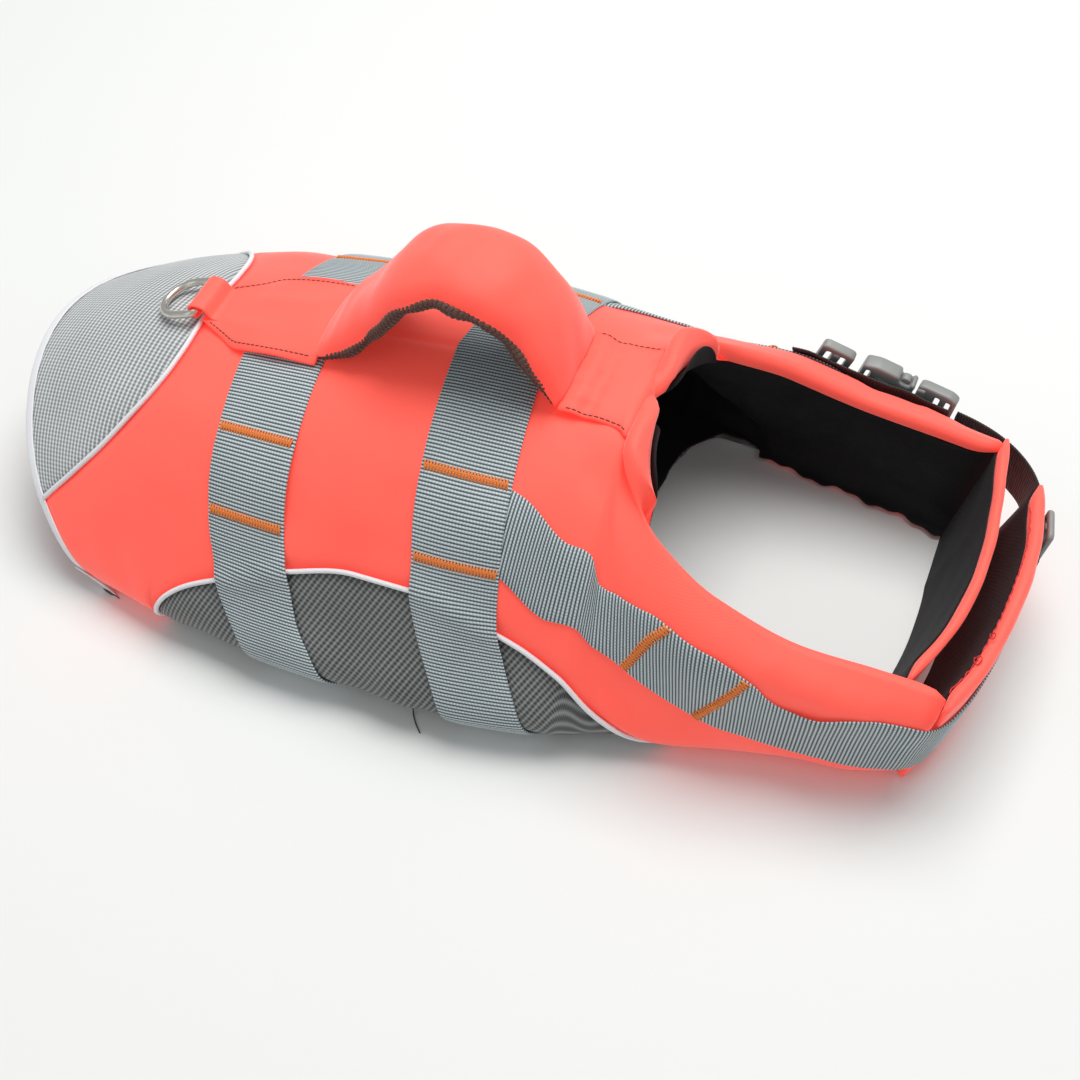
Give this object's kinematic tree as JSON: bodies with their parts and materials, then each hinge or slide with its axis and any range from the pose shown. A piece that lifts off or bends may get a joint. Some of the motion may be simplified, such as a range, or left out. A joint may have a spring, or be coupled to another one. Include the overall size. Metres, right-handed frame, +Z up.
{
  "type": "dog life jacket",
  "caption": "Foam-padded dog life jacket standing by itself, with webbing straps, padded grab handle, D-ring and overlapping chest flaps.",
  "frame": {"origin": "on the floor, under the middle of the jacket's box", "axes": "+X from the tail to the neck opening, +Z up, +Y to the dog's left"},
  "size_m": [0.4986, 0.2584, 0.1746],
  "materials": {
    "coral_fabric": "matte woven shell fabric",
    "black_lining": "matte knit",
    "grey_ripstop": "ribbed ripstop with a slight sheen",
    "white_tape": "plain tape",
    "grey_webbing": "ribbed reflective webbing",
    "dark_webbing": "ribbed webbing and mesh",
    "grey_plastic": "moulded",
    "nickel": "nickel plated"
  },
  "bodies": {
    "jacket": {"back_panel_right": "coral_fabric", "back_panel_left": "coral_fabric", "lining_right": "black_lining", "lining_left": "black_lining", "tail_yoke": "grey_ripstop", "belly_panel_right": "grey_ripstop", "belly_panel_left": "grey_ripstop", "tail_piping": "white_tape", "belly_piping_right": "white_tape", "belly_piping_left": "white_tape", "hem_binding": "white_tape", "rear_strap": "grey_webbing", "front_strap": "grey_webbing", "chest_strap_right": "grey_webbing", "chest_strap_left": "grey_webbing", "chest_flap_outer": "coral_fabric", "chest_flap_inner": "coral_fabric", "flap_lining_outer": "black_lining", "flap_lining_inner": "black_lining", "handle_pad": "coral_fabric", "handle_underside": "dark_webbing", "handle_rear_tab": "coral_fabric", "handle_front_tab": "coral_fabric", "ring_loop": "coral_fabric", "rear_buckle_socket": "grey_plastic", "rear_buckle_plug": "grey_plastic", "front_buckle_socket": "grey_plastic", "front_buckle_plug": "grey_plastic", "closure_plug": "grey_plastic", "closure_socket": "grey_plastic", "closure_slider": "grey_plastic", "closure_strap": "dark_webbing", "flap_slider": "grey_plastic"},
    "d_ring": {"d_ring": "nickel"}
  },
  "joints": [
    {"name": "d_ring_hinge", "type": "hinge", "parent": "jacket", "child": "d_ring", "pos_m": [-0.15545, 0, 0.10562], "axis": [0, 1, 0], "range_deg": [0, 160]}
  ]
}
